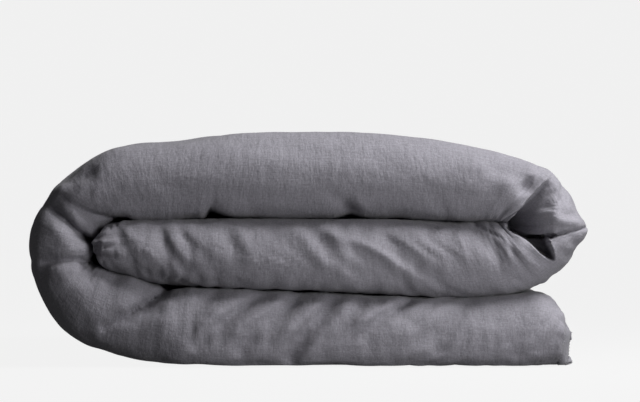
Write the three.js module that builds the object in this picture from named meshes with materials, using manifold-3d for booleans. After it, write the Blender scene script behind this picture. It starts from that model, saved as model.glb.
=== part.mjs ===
// A single-bed duvet in its buttoned linen cover, put away folded: first in half down its length,
// so that one long fold faces the front (-Y), and then rolled inwards in three. From the lower layer's
// buttoned end the strip runs left, round the left fold, right along the top, round the right fold, and
// back left as the middle layer, whose end is tucked into the left fold.
//
// +Z is up, +X runs from the left fold to the right fold, and +Y runs from the front to the open edges.
// The origin is at the middle of the footprint, on the surface that the duvet lies on. Millimetres.
import * as THREE from "three";
import { mergeVertices } from "three/addons/utils/BufferGeometryUtils.js";
import Module from "manifold-3d";

const wasm = await Module();
wasm.setup();

// ---- Driving dimensions ----
const FOLDED_WIDTH = 610; // X, from the left fold to the tip of the right fold
const FOLDED_DEPTH = 700; // Y, half of the duvet's width
const LOWER_HEIGHT = 82; // the layer that lies on the surface
const MIDDLE_HEIGHT = 83; // the end that is tucked in
const UPPER_HEIGHT = 95; // the layer on top
const LAYER_GAP = 1; // between the layers
const PLY_GAP = 1; // between the two plies of one layer
const LEFT_FOLD_WALL = 63; // thickness of the strip where it turns round the tucked-in end
const RIGHT_FOLD_REACH = 120; // how far the right fold runs past the top layer's level part
const RIGHT_FOLD_CORE = 84; // thickness of the strip at the tip of the right fold
const BAND_SETBACK = 14; // the buttoned end lies this far inside the right fold's tip
const TUCK_ROOM = 17; // between the tucked-in end and the inside of the left fold

const COVER_CLOTH = 1.0;
const TICKING_CLOTH = 0.8;
const CLEARANCE = 0.35; // between cloth and cloth, and between cloth and filling
const SEAM_GAP = 0.4; // between the two panels where they meet at a seam
const EDGE_ROUNDING = 40; // how far in from its sewn edge a ply reaches its full thickness
const TICKING_INSET = 25; // the cover is larger than the duvet inside it by this much at each edge
const FILLING_INSET = 31;
const QUILTING_GAP = 1; // between neighbouring pockets of filling, at a line of quilting
const LABEL_STAND = 6; // how far the care label stands out of the side seam

const BAND_WIDTH = 23; // hem bands at the buttoned end
const BAND_CLOTH = 1.4; // a hem is two thicknesses of cloth
const BAND_DROOP = 12; // how far a band's free edge hangs below its seam
const BUTTON_COUNT = 6;
const BUTTON_PITCH = 230; // measured along the band
const BUTTON_RADIUS = 7.5;
const BUTTON_THICKNESS = 3;
const BUTTON_HOLE_RADIUS = 0.95;
const BUTTON_HOLE_PITCH = 4.4;
const BUTTON_STANDOFF = 1.6; // length of the thread shank above the band
const BUTTON_INSET = 12; // from the band's seam to the line of buttons
const SHANK_RADIUS = 1.1;
const THREAD_RADIUS = 0.5;
const BUTTONHOLE_LENGTH = 18;
const BUTTONHOLE_WIDTH = 3;

const TAPE_WIDTH = 4;
const TAPE_THICKNESS = 1.5;
const TAPE_RING_WIDTH = 9;
const CORNER_ROOM = 11; // between a tie and the cover's corner, along the diagonal
const LABEL_SIZE = [30, 24, 0.7]; // along the seam, hanging down, thickness

// ---- Sizes worked out from them ----
const LEFT = -FOLDED_WIDTH / 2;
const RIGHT = FOLDED_WIDTH / 2;
const FRONT = -FOLDED_DEPTH / 2;
const BACK = FOLDED_DEPTH / 2 - LABEL_STAND;
const TOTAL_HEIGHT = LOWER_HEIGHT + MIDDLE_HEIGHT + UPPER_HEIGHT;
const LOWER_TOP = LOWER_HEIGHT - LAYER_GAP / 2;
const MIDDLE_BOTTOM = LOWER_HEIGHT + LAYER_GAP / 2;
const MIDDLE_TOP = LOWER_HEIGHT + MIDDLE_HEIGHT - LAYER_GAP / 2;
const UPPER_BOTTOM = LOWER_HEIGHT + MIDDLE_HEIGHT + LAYER_GAP / 2;
const BAND_END = RIGHT - BAND_SETBACK;
const LOWER_END = BAND_END - BAND_WIDTH;
const MIDDLE_END = LEFT + LEFT_FOLD_WALL + TUCK_ROOM;
const LEFT_RADIUS = TOTAL_HEIGHT / 2;
const LEFT_CENTRE = LEFT + LEFT_RADIUS;
const RIGHT_CENTRE = RIGHT - RIGHT_FOLD_REACH;
const RIGHT_CORE = RIGHT - RIGHT_FOLD_CORE;
const CORE_RADIUS = 6;
const MITRE_GAP = 0.5; // degrees, on each side of a cut between bodies
const STEP = 22.5; // degrees between the sections of a fold
const EDGE_STEPS = [0, 5, 18, EDGE_ROUNDING];
const FRONT_ANGLES = [-90, -60, -30, 0, 30, 60, 90];
const rad = THREE.MathUtils.degToRad;

// ---- The folded strip ----
// A station is one section across the strip: the points where it meets the outside and the inside of the
// roll, in X and Z, and how far it lies from the strip's nearest end.
const station = (outer, inner, fromEnd = Infinity) => ({ outer, inner, fromEnd });

const lowerStation = (x, fromEnd) => station([x, 0], [x, LOWER_TOP], fromEnd);
const middleStation = (x, fromEnd) => station([x, MIDDLE_BOTTOM], [x, MIDDLE_TOP], fromEnd);

// Degrees run from 0, at the lower layer, to 180, at the upper one. The inside is a squarish oval that
// leaves room for the tucked-in end.
function leftStation(degrees) {
  const side = Math.sin(rad(degrees));
  const up = -Math.cos(rad(degrees));
  const hollow = LEFT_RADIUS - LEFT_FOLD_WALL;
  const halfHeight = (UPPER_BOTTOM - LOWER_TOP) / 2;
  const squared = (v) => Math.sign(v) * Math.abs(v) ** (2 / 3);
  return station(
    [LEFT_CENTRE - LEFT_RADIUS * side, LEFT_RADIUS + LEFT_RADIUS * up],
    [LEFT_CENTRE - hollow * squared(side), LOWER_TOP + halfHeight * (1 + squared(up))],
  );
}

// Degrees run from 0, at the upper layer, to 180, at the middle one.
function rightStation(degrees) {
  const side = Math.sin(rad(degrees));
  const up = Math.cos(rad(degrees));
  const halfHeight = (TOTAL_HEIGHT - MIDDLE_BOTTOM) / 2;
  return station(
    [RIGHT_CENTRE + RIGHT_FOLD_REACH * side, MIDDLE_BOTTOM + halfHeight * (1 + up)],
    [RIGHT_CORE - CORE_RADIUS * (1 - side), MIDDLE_TOP + (LAYER_GAP * (1 + up)) / 2],
  );
}

function arc(make, from, to) {
  const count = Math.max(1, Math.round((to - from) / STEP));
  return Array.from({ length: count + 1 }, (_, i) => make(from + ((to - from) * i) / count));
}

// The level runs start or stop at the strip's sewn ends, set in by inset.
const lowerRun = (inset) =>
  EDGE_STEPS.map((d) => lowerStation(LOWER_END - inset - d, inset + d));
const middleRun = (inset) =>
  EDGE_STEPS.map((d) => middleStation(MIDDLE_END + inset + d, inset + d)).reverse();

const CUT_LOW = 45;
const CUT_HIGH = 135;
const bodyStations = {
  lower: (inset) => [...lowerRun(inset), ...arc(leftStation, 0, CUT_LOW - MITRE_GAP)],
  left_fold: () => arc(leftStation, CUT_LOW + MITRE_GAP, CUT_HIGH - MITRE_GAP),
  upper: (inset) => [
    ...arc(leftStation, CUT_HIGH + MITRE_GAP, 180),
    ...arc(rightStation, 0, 180),
    ...middleRun(inset),
  ],
};

// The filling is also parted where the right fold meets the level runs.
const shortOf = ({ outer: [ox, oz], inner: [ix, iz] }) =>
  station([ox - QUILTING_GAP, oz], [ix - QUILTING_GAP, iz]);
const rowStations = {
  lower: bodyStations.lower,
  left_fold: bodyStations.left_fold,
  top: () => [...arc(leftStation, CUT_HIGH + MITRE_GAP, 180), shortOf(rightStation(0))],
  right_fold: () => arc(rightStation, 0, 180),
  middle: (inset) => [shortOf(rightStation(180)), ...middleRun(inset)],
};

// ---- Across the strip ----
// A column is a line along the strip: either at an angle round the front turn, or at a distance in from the
// back edge of the upper (side 1) or lower (side -1) ply of the half fold.
const turnColumn = (angle) => ({ angle, side: Math.sign(angle) || 1, fromBack: Infinity });
const flatColumn = (side, fromBack) => ({ side, fromBack });

const wholeWidth = (inset) => [
  ...EDGE_STEPS.map((d) => flatColumn(-1, inset + d)),
  ...FRONT_ANGLES.map(turnColumn),
  ...EDGE_STEPS.map((d) => flatColumn(1, inset + d)).reverse(),
];

// Where a point lies: n is its distance from the middle of its ply, positive towards the outside.
function place(at, column, n) {
  const [ox, oz] = at.outer;
  const [ix, iz] = at.inner;
  const thickness = Math.hypot(ox - ix, oz - iz);
  const quarter = thickness / 4;
  const reach = quarter + n;
  const turned = column.angle === undefined ? 90 : Math.abs(column.angle);
  const rise = reach * Math.sin(rad(turned)) * column.side;
  const turnCentre = FRONT + 2 * quarter;
  const y =
    column.angle === undefined
      ? BACK - column.fromBack
      : turnCentre - reach * Math.cos(rad(column.angle));
  const t = 0.5 + rise / thickness;
  return [ix + (ox - ix) * t, y, iz + (oz - iz) * t];
}

const rounding = (d) => (d >= EDGE_ROUNDING ? 1 : Math.sqrt(1 - (1 - d / EDGE_ROUNDING) ** 2));

// Half the thickness of a ply, less depth, where it narrows towards its sewn edges.
function halfPly(at, column, { inset, depth, edge }) {
  const [ox, oz] = at.outer;
  const [ix, iz] = at.inner;
  const full = Math.hypot(ox - ix, oz - iz) / 4 - depth;
  return edge + (full - edge) * rounding(at.fromEnd - inset) * rounding(column.fromBack - inset);
}

// ---- Solids ----
function solidMesh(vertices, triangles) {
  const geometry = new THREE.BufferGeometry();
  geometry.setAttribute("position", new THREE.Float32BufferAttribute(vertices.flat(), 3));
  geometry.setIndex(triangles.flat());
  geometry.computeVertexNormals();
  return geometry;
}

// A slab over a grid of stations and columns, between two surfaces given by place-like functions.
function slab(rows, columns, outer, inner) {
  const vertices = [];
  const index = (layer, i, j) => (layer * rows.length + i) * columns.length + j;
  for (const surface of [outer, inner])
    for (const row of rows) for (const column of columns) vertices.push(surface(row, column));
  const triangles = [];
  const quad = (a, b, c, d) => triangles.push([a, c, b], [a, d, c]);
  const lastRow = rows.length - 1;
  const lastColumn = columns.length - 1;
  for (let i = 0; i < lastRow; i++)
    for (let j = 0; j < lastColumn; j++) {
      quad(index(0, i, j), index(0, i, j + 1), index(0, i + 1, j + 1), index(0, i + 1, j));
      quad(index(1, i, j), index(1, i + 1, j), index(1, i + 1, j + 1), index(1, i, j + 1));
    }
  const wall = (a, b) => quad(index(0, ...a), index(0, ...b), index(1, ...b), index(1, ...a));
  for (let i = 0; i < lastRow; i++) {
    wall([i, 0], [i + 1, 0]);
    wall([i + 1, lastColumn], [i, lastColumn]);
  }
  for (let j = 0; j < lastColumn; j++) {
    wall([0, j + 1], [0, j]);
    wall([lastRow, j], [lastRow, j + 1]);
  }
  return solidMesh(vertices, triangles);
}

const COVER = { inset: 0, depth: 0, edge: COVER_CLOTH + SEAM_GAP / 2 };
const TICKING = {
  inset: TICKING_INSET,
  depth: COVER_CLOTH + CLEARANCE,
  edge: TICKING_CLOTH + SEAM_GAP / 2,
};
const FILLING = {
  inset: FILLING_INSET,
  depth: TICKING.depth + TICKING_CLOTH + CLEARANCE,
  edge: 0.8,
};
const innerSide = (kind) => ({ ...kind, depth: kind.depth + PLY_GAP / 2 });

// One cloth panel: side 1 is on the outside of the half fold, side -1 on the inside.
function panel(rows, kind, cloth, side) {
  const half = (at, column) => halfPly(at, column, side > 0 ? kind : innerSide(kind));
  const columns = wholeWidth(kind.inset);
  const near = (at, column) => place(at, column, side * (half(at, column) - cloth));
  const far = (at, column) => place(at, column, side * half(at, column));
  return side > 0 ? slab(rows, columns, far, near) : slab(rows, columns, near, far);
}

// A pocket of filling between two lines of quilting.
function pocket(rows, columns) {
  return slab(
    rows,
    columns,
    (at, column) => place(at, column, halfPly(at, column, FILLING)),
    (at, column) => place(at, column, -halfPly(at, column, innerSide(FILLING))),
  );
}

const asSolid = (geometry) => {
  const bare = geometry.clone();
  bare.deleteAttribute("normal");
  bare.deleteAttribute("uv");
  const merged = mergeVertices(bare, 1e-4);
  return new wasm.Manifold(
    new wasm.Mesh({
      numProp: 3,
      vertProperties: new Float32Array(merged.getAttribute("position").array),
      triVerts: new Uint32Array(merged.index.array),
    }),
  );
};

const asGeometry = (solid) => {
  const { vertProperties, triVerts } = solid.getMesh();
  const geometry = new THREE.BufferGeometry();
  geometry.setAttribute("position", new THREE.BufferAttribute(vertProperties, 3));
  geometry.setIndex(new THREE.BufferAttribute(triVerts, 1));
  geometry.computeVertexNormals();
  return geometry;
};

const placed = (geometry, x, y, z) => asSolid(geometry.clone().translate(x, y, z));
const upright = (radius, length, sides) =>
  new THREE.CylinderGeometry(radius, radius, length, sides).rotateX(Math.PI / 2);

// ---- Materials ----
const cloth = (color, roughness = 0.95) =>
  new THREE.MeshStandardMaterial({ color, roughness, metalness: 0 });
const LINEN = cloth(0x77757e);
const COTTON = cloth(0xe9e6df);
const WADDING = cloth(0xf6f5f1);
const TAPE = cloth(0xdedad1);
const LABEL = cloth(0xe4e1da);
const SHELL = cloth(0x5b5658, 0.4);
const THREAD = cloth(0x6d6b74);

const duvet = new THREE.Group();
function add(name, geometry, material) {
  const mesh = new THREE.Mesh(geometry, material);
  mesh.name = name;
  duvet.add(mesh);
  return mesh;
}

// ---- Cover and duvet casing ----
function addPanels() {
  for (const [body, stations] of Object.entries(bodyStations)) {
    add(`cover_face_${body}`, panel(stations(COVER.inset), COVER, COVER_CLOTH, 1), LINEN);
    add(`cover_back_${body}`, panel(stations(COVER.inset), COVER, COVER_CLOTH, -1), LINEN);
    add(`ticking_outer_${body}`, panel(stations(TICKING.inset), TICKING, TICKING_CLOTH, 1), COTTON);
    add(`ticking_inner_${body}`, panel(stations(TICKING.inset), TICKING, TICKING_CLOTH, -1), COTTON);
  }
}

// ---- Filling: five rows of four pockets, parted along the folds ----
function addFilling() {
  const halfway = (BACK - FRONT) / 2;
  const stitch = QUILTING_GAP / 2; // and in degrees round the front turn
  const frontAngles = FRONT_ANGLES.filter((a) => a >= 0).map((a) => Math.max(a, stitch));
  const widths = (side) => [
    [
      ...frontAngles.map((a) => turnColumn(side * a)),
      flatColumn(side, halfway + stitch),
    ],
    [
      flatColumn(side, halfway - stitch),
      ...EDGE_STEPS.map((d) => flatColumn(side, FILLING_INSET + d)).reverse(),
    ],
  ];
  for (const [row, stations] of Object.entries(rowStations)) {
    const rows = stations(FILLING_INSET);
    const [lowerFront, lowerBack] = widths(-1).map((columns) => columns.reverse());
    const [upperFront, upperBack] = widths(1);
    [lowerBack, lowerFront, upperFront, upperBack].forEach((columns, i) =>
      add(`fill_pocket_${row}_${i + 1}`, pocket(rows, columns), WADDING),
    );
  }
}

// ---- Buttoned end ----
const LOWER_QUARTER = LOWER_TOP / 4;
const TURN_LENGTH = Math.PI * LOWER_QUARTER; // the band's length round the front turn
const TURN_CENTRE = FRONT + 2 * LOWER_QUARTER;
const BAND_BACK = BACK - 6;

// A point of the hem: out is the distance from the seam, along is the distance from the front turn's middle,
// and n is the height over the band's middle. The free edge hangs down along the two plies.
function hemPoint(out, along, n) {
  const side = Math.sign(along) || 1;
  const past = Math.abs(along) - TURN_LENGTH / 2;
  const angle = past >= 0 ? 90 : (Math.abs(along) / LOWER_QUARTER) * (180 / Math.PI);
  const reach = LOWER_QUARTER + n;
  const y = TURN_CENTRE + Math.max(past, 0) - reach * Math.cos(rad(angle));
  const rise = reach * Math.sin(rad(angle)) * side;
  const limp = THREE.MathUtils.smoothstep(past, 0, 120);
  const droop = BAND_DROOP * limp * (out / BAND_WIDTH) ** 1.6;
  return new THREE.Vector3(LOWER_END + out, y, LOWER_TOP / 2 + rise - droop);
}

function hemBand(from, to) {
  const outs = [CLEARANCE, 8, 16, BAND_WIDTH];
  const flat = TURN_LENGTH / 2 + BAND_BACK - TURN_CENTRE;
  const half = [
    ...FRONT_ANGLES.filter((a) => a > 0).map((a) => LOWER_QUARTER * rad(a)),
    TURN_LENGTH / 2 + 40,
    TURN_LENGTH / 2 + 80,
    TURN_LENGTH / 2 + 120,
    flat,
  ];
  const alongs = [...half.map((a) => -a).reverse(), 0, ...half];
  return slab(
    outs,
    alongs,
    (out, along) => hemPoint(out, along, from).toArray(),
    (out, along) => hemPoint(out, along, to).toArray(),
  );
}

// The place of button k, as a matrix whose z axis leaves the band and whose x axis runs along it.
function buttonPlace(k) {
  const along = (k - (BUTTON_COUNT - 1) / 2) * BUTTON_PITCH;
  const surface = SEAM_GAP / 2 + BAND_CLOTH;
  const here = hemPoint(BUTTON_INSET, along, surface);
  const alongAxis = hemPoint(BUTTON_INSET, along + 1, surface).sub(here).normalize();
  const outAxis = hemPoint(BUTTON_INSET + 1, along, surface).sub(here).normalize();
  const normal = new THREE.Vector3().crossVectors(alongAxis, outAxis).normalize();
  if (normal.z * Math.sign(along) < 0) normal.negate();
  const across = new THREE.Vector3().crossVectors(normal, alongAxis);
  return new THREE.Matrix4().makeBasis(alongAxis, across, normal).setPosition(here);
}

function buttonGeometry() {
  const rim = BUTTON_RADIUS;
  const profile = [
    [0, 0],
    [rim - 1.5, 0],
    [rim, 1],
    [rim, BUTTON_THICKNESS - 0.8],
    [rim - 0.8, BUTTON_THICKNESS],
    [rim - 2, BUTTON_THICKNESS],
    [rim - 3, BUTTON_THICKNESS - 0.8],
    [0, BUTTON_THICKNESS - 0.8],
  ].map(([r, z]) => new THREE.Vector2(r, z));
  const disc = asSolid(new THREE.LatheGeometry(profile, 16).rotateX(Math.PI / 2));
  const hole = upright(BUTTON_HOLE_RADIUS, 3 * BUTTON_THICKNESS, 6);
  return holePlaces().reduce((solid, [x, y]) => solid.subtract(placed(hole, x, y, 0)), disc);
}

const holePlaces = () => {
  const p = BUTTON_HOLE_PITCH / 2;
  return [[-p, -p], [p, -p], [-p, p], [p, p]].map(([x, y]) => [x * 0.75, y * 0.75]);
};

// Shank, a stitch up through each hole, and a bar across each pair on top.
function threadGeometry() {
  const top = BUTTON_STANDOFF + BUTTON_THICKNESS - 0.8 + CLEARANCE;
  const foot = CLEARANCE - BAND_CLOTH;
  const head = BUTTON_STANDOFF - CLEARANCE;
  const shank = placed(upright(SHANK_RADIUS, head - foot, 8), 0, 0, (head + foot) / 2);
  const [[, ], [reach]] = holePlaces();
  const spread = new THREE.CylinderGeometry(reach + 1.2, SHANK_RADIUS, 0.5, 8).rotateX(Math.PI / 2);
  const stitch = upright(THREAD_RADIUS, top - head + 1, 6);
  const bar = new THREE.BoxGeometry(2 * reach + 1, 1, 0.7);
  const parts = [
    placed(spread, 0, 0, head - 0.25),
    ...holePlaces().map(([x, y]) => placed(stitch, x, y, (top + head) / 2)),
    placed(bar, 0, reach, top + 0.35),
    placed(bar, 0, -reach, top + 0.35),
  ];
  return parts.reduce((solid, part) => solid.add(part), shank);
}

function addButtonedEnd() {
  const from = SEAM_GAP / 2;
  const slot = new THREE.BoxGeometry(BUTTONHOLE_LENGTH, BUTTONHOLE_WIDTH, 4 * BAND_CLOTH);
  let over = asSolid(hemBand(from + BAND_CLOTH, from));
  const button = buttonGeometry().translate([0, 0, BUTTON_STANDOFF]);
  const thread = threadGeometry();
  for (let k = 0; k < BUTTON_COUNT; k++) {
    const where = buttonPlace(k);
    over = over.subtract(asSolid(slot.clone().applyMatrix4(where)));
    add(`button_${k + 1}`, asGeometry(button).applyMatrix4(where), SHELL);
    add(`button_thread_${k + 1}`, asGeometry(thread).applyMatrix4(where), THREAD);
  }
  add("buttonhole_band", asGeometry(over), LINEN);
  add("button_band", hemBand(-from, -from - BAND_CLOTH), LINEN);
}

// ---- Corner ties: a loop on each corner of the duvet, and a tie from the cover's corner through it ----
const DUVET_CORNER = TICKING_INSET * Math.SQRT2 - 2; // where a loop starts, measured from the cover's corner
const TAPE_RING_LENGTH = (DUVET_CORNER - CORNER_ROOM + TAPE_THICKNESS) / 1.5;

function tapeRing() {
  const length = TAPE_RING_LENGTH;
  const width = TAPE_RING_WIDTH;
  const oval = (l, w) => {
    const r = w / 2;
    const shape = new THREE.Shape();
    shape.moveTo(-l / 2 + r, -r).lineTo(l / 2 - r, -r);
    shape.absarc(l / 2 - r, 0, r, -Math.PI / 2, Math.PI / 2, false);
    shape.lineTo(-l / 2 + r, r);
    shape.absarc(-l / 2 + r, 0, r, Math.PI / 2, (3 * Math.PI) / 2, false);
    return shape;
  };
  const ring = oval(length, width);
  ring.holes.push(oval(length - 2 * TAPE_THICKNESS, width - 2 * TAPE_THICKNESS));
  const options = { depth: TAPE_WIDTH, bevelEnabled: false, curveSegments: 4 };
  return new THREE.ExtrudeGeometry(ring, options).translate(0, 0, -TAPE_WIDTH / 2);
}

// towards is the X direction out of the strip's end, and height that of the ply's middle.
function addCornerTie(name, cornerX, towards, height) {
  const outward = Math.atan2(1, towards);
  const fromCorner = (distance) => [
    cornerX - towards * distance * Math.SQRT1_2,
    BACK - distance * Math.SQRT1_2,
    height,
  ];
  const loopMiddle = DUVET_CORNER - TAPE_RING_LENGTH / 2;
  const tieMiddle = CORNER_ROOM + TAPE_RING_LENGTH / 2;
  const loop = tapeRing().rotateZ(outward).translate(...fromCorner(loopMiddle));
  const tie = tapeRing().rotateX(Math.PI / 2).rotateZ(outward).translate(...fromCorner(tieMiddle));
  add(`insert_loop_${name}`, loop, TAPE);
  add(`corner_tie_${name}`, tie, TAPE);
}

function addCornerTies() {
  const lowerQuarter = LOWER_TOP / 4;
  const middleQuarter = (MIDDLE_TOP - MIDDLE_BOTTOM) / 4;
  addCornerTie("lower_bottom", LOWER_END, 1, lowerQuarter);
  addCornerTie("lower_top", LOWER_END, 1, 3 * lowerQuarter);
  addCornerTie("middle_bottom", MIDDLE_END, -1, MIDDLE_BOTTOM + middleQuarter);
  addCornerTie("middle_top", MIDDLE_END, -1, MIDDLE_BOTTOM + 3 * middleQuarter);
}

// ---- Care label: a blank tab sewn into the side seam of the lower layer's upper ply ----
function addLabel() {
  const [along, hang, thickness] = LABEL_SIZE;
  const seam = (3 * LOWER_TOP) / 4;
  const stand = LABEL_STAND - CLEARANCE;
  const shape = new THREE.Shape();
  shape.moveTo(0, thickness / 2);
  shape.lineTo(stand, thickness / 2);
  shape.lineTo(stand, -hang);
  shape.lineTo(stand - thickness, -hang);
  shape.lineTo(stand - thickness, -thickness / 2);
  shape.lineTo(0, -thickness / 2);
  const tab = new THREE.ExtrudeGeometry(shape, { depth: along, bevelEnabled: false });
  tab.rotateX(Math.PI / 2).rotateZ(Math.PI / 2);
  tab.translate(LOWER_END - 3 * along, BACK + CLEARANCE, seam);
  add("care_label", tab, LABEL);
}

addPanels();
addFilling();
addButtonedEnd();
addCornerTies();
addLabel();

export default duvet;
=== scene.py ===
"""A single duvet in a buttoned linen cover, folded in half and then in three. Metres throughout.

The cover is one grid of cloth: rows run along the strip, from the buttoned end of the lower layer to the
tucked-in end of the middle one, and columns run across it, from the back of one ply round the long front
turn to the back of the other.
"""
import math

import bmesh
import bpy
import numpy as np
from mathutils import Matrix, Vector


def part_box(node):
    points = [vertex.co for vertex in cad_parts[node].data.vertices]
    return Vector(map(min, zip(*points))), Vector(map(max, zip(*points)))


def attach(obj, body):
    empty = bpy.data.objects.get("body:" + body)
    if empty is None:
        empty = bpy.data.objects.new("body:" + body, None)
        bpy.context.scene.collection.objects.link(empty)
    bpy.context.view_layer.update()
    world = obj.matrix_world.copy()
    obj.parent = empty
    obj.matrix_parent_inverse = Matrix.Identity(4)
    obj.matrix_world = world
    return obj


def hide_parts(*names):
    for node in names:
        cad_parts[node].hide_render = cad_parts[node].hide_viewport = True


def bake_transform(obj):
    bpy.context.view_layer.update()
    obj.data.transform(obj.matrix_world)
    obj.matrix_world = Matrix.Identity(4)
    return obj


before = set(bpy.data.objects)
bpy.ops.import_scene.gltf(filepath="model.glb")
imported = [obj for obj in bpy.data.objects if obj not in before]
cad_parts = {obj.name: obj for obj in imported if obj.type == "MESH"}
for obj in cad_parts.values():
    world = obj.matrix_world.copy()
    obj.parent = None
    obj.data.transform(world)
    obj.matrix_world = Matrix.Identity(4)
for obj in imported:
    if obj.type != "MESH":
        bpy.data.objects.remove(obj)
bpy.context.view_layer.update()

MM = 0.001
X_AXIS, Y_AXIS, Z_AXIS = np.eye(3)
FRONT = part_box("cover_face_upper")[0][1]
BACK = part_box("cover_face_upper")[1][1]


def unit(v):
    """The same vectors, with a length of 1."""
    return v / np.maximum(np.linalg.norm(v, axis=-1, keepdims=True), 1e-12)


def bell(x, width):
    """1 where x is 0, falling off to both sides."""
    return np.exp(-((x / width) ** 2))


def lengths_along(path):
    """How far along a path each of its points is."""
    return np.append(0, np.cumsum(np.linalg.norm(np.diff(path, axis=0), axis=1)))


def pairs(a, b):
    """A grid of pairs, one value from a and one from b."""
    return np.stack(np.meshgrid(a, b, indexing="ij"), axis=-1)


# ---------------------------------------------------------------- the folded strip
# Each station is where a section across the strip meets the outside and the inside of the roll, as
# (outside X, Z, inside X, Z) in millimetres. The duvet has settled, so nothing in it is quite level.
STATIONS = {
    "lower": [
        (272, 0, 282, 80), (246, 0, 257, 82), (205, 0, 206, 77), (110, 0, 108, 76),
        (0, 0, 0, 81), (-110, 1, -110, 85),
    ],
    "left": [
        (-172, 6, -160, 88), (-216, 15, -200, 97), (-250, 30, -224, 104), (-277, 54, -236, 111),
        (-296, 88, -241, 118), (-304.5, 122, -242, 128), (-301.5, 152, -240, 137),
        (-288, 183, -234, 146), (-261, 209.5, -226, 155), (-219, 236, -206, 161),
        (-168, 244.5, -165, 162),
    ],
    "top": [
        (-100, 253.5, -110, 164), (0, 258.5, 0, 162.5), (90, 255.5, 95, 163), (160, 246, 160, 159),
        (215, 234, 196, 159),
    ],
    "right": [
        (255, 220, 206, 159), (276, 200, 210, 159), (292.5, 175, 212, 158),
        (304.5, 152, 213, 156.5), (297, 134, 211.5, 155.5), (281, 114, 208, 156),
        (258, 97, 202, 157), (230, 84, 190, 157.5),
    ],
    "middle": [
        (185, 77.5, 160, 157.5), (100, 78.5, 95, 161), (0, 83, 0, 161), (-110, 88, -110, 162),
        (-165, 91.5, -165, 161), (-200, 100, -200, 160), (-222, 107, -221, 156.5),
        (-234, 117, -234, 148),
    ],
}
ROWS_PER_SECTION = {"lower": 62, "left": 66, "top": 46, "right": 84, "middle": 60}


def spline(points, t):
    """A Catmull-Rom curve through the points, at parameters t that count the points."""
    points = np.asarray(points, float)
    padded = np.vstack([2 * points[0] - points[1], points, 2 * points[-1] - points[-2]])
    i = np.clip(np.floor(t).astype(int), 0, len(points) - 2)
    f = (t - i)[:, None]
    a, b, c, d = (padded[i + k] for k in range(4))
    return 0.5 * (2 * b + (c - a) * f + (2 * a - 5 * b + 4 * c - d) * f**2 + (3 * b - a - 3 * c + d) * f**3)


def strip_rows():
    """Every row's outside and inside point, the section that it is in, and its length along the cloth."""
    every, start, t, section = [], 0, [], []
    for name, points in STATIONS.items():
        every += points
        end = start + len(points)
        last = end - 1 if name == "middle" else end
        count = ROWS_PER_SECTION[name]
        t.append(start + (last - start) * (np.arange(count) / count))
        section += [name] * count
        start = end
    t = np.append(np.concatenate(t), start - 1)
    section.append("middle")
    ends = spline(np.array(every) * MM, t)
    outer, inner = ends[:, :2], ends[:, 2:]
    run = np.linalg.norm(np.diff((outer + inner) / 2, axis=0), axis=1)
    run += 0.5 * np.abs(np.linalg.norm(np.diff(outer, axis=0), axis=1) - run)
    return outer, inner, np.array(section), np.append(0, np.cumsum(run))


OUTER, INNER, SECTION, ALONG = strip_rows()
ROW = {name: np.flatnonzero(SECTION == name) for name in STATIONS}
TURN_COLUMNS = 19
TURN_DEPTH = 0.045
FLAT = BACK - FRONT - TURN_DEPTH
FIRST_COLUMN = 0.0075
COLUMN_GROWTH = 1.075


def strip_columns():
    """Each column's angle round the front turn, its distance past the turn, and its ply, -1 or 1."""
    grow = np.cumsum(FIRST_COLUMN * COLUMN_GROWTH ** np.arange(60))
    past = grow[grow < FLAT * 0.97]
    past *= FLAT / past[-1]
    angle = np.radians(np.linspace(-90, 90, TURN_COLUMNS))
    side = np.concatenate([-np.ones(len(past)), np.sign(angle), np.ones(len(past))])
    return (
        np.concatenate([np.full(len(past), -math.pi / 2), angle, np.full(len(past), math.pi / 2)]),
        np.concatenate([past[::-1], np.zeros(TURN_COLUMNS), past]),
        side,
    )


ANGLE, PAST, SIDE = strip_columns()
EDGE_ROUNDING = 0.038
SEAM = 0.0006


def smooth(a, b, x):
    t = np.clip((x - a) / (b - a), 0, 1)
    return t * t * (3 - 2 * t)


def eased(values, reach=9):
    """A value for each row, smoothed along the strip."""
    weights = np.hanning(2 * reach + 1)
    return np.convolve(np.pad(values, reach, mode="edge"), weights / weights.sum(), mode="valid")


def rounding(d):
    return np.sqrt(np.clip(1 - np.clip(1 - d / EDGE_ROUNDING, 0, 1) ** 2, 0, 1))


def skin(side=1, depth=0.0, bulge=1.12):
    """The cloth on the outside (side 1) or the inside (side -1) of the half fold, in rows and columns."""
    thick = np.linalg.norm(OUTER - INNER, axis=1)
    quarter = (thick / 4)[:, None]
    from_end = np.minimum(ALONG, 2.8 * (ALONG[-1] - ALONG))[:, None]
    taper = rounding(from_end) * rounding(np.maximum(FLAT - PAST, 0))[None, :]
    half = SEAM + (quarter - SEAM) * taper - depth
    reach = quarter + side * half
    turn = FRONT + 2 * quarter * bulge
    # the front turn is round, but squarer where the lower layer rests on the ground
    round_turn, square_turn = np.cos(ANGLE), np.clip(np.cos(ANGLE), 0, 1) ** 0.2
    resting = eased((SECTION == "lower") * 1.0)[:, None] * smooth(0.0, 0.5, ANGLE)
    resting = resting * smooth(0, 0.06, ALONG)[:, None]
    forward = reach * bulge * (round_turn + (square_turn - round_turn) * resting)
    y = turn - forward + PAST * (BACK - turn) / FLAT
    t = 0.5 + reach * np.sin(ANGLE) / thick[:, None]
    xz = INNER[:, None, :] + (OUTER - INNER)[:, None, :] * t[..., None]
    # the buttoned end sinks to the ground and is drawn in a little
    front_edge = 0.4 * np.clip(np.sin(ANGLE), 0, 1) * bell(PAST, 0.045)
    sunk = quarter * (0.49 + 0.01 * np.sin(ANGLE) + front_edge) * (1 - rounding(ALONG))[:, None]
    short = 0.006 * bell(ALONG, 0.03)[:, None] * smooth(0.01, 0.09, PAST)
    return np.stack([xz[..., 0] - short, y, xz[..., 1] - sunk], axis=-1)


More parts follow.
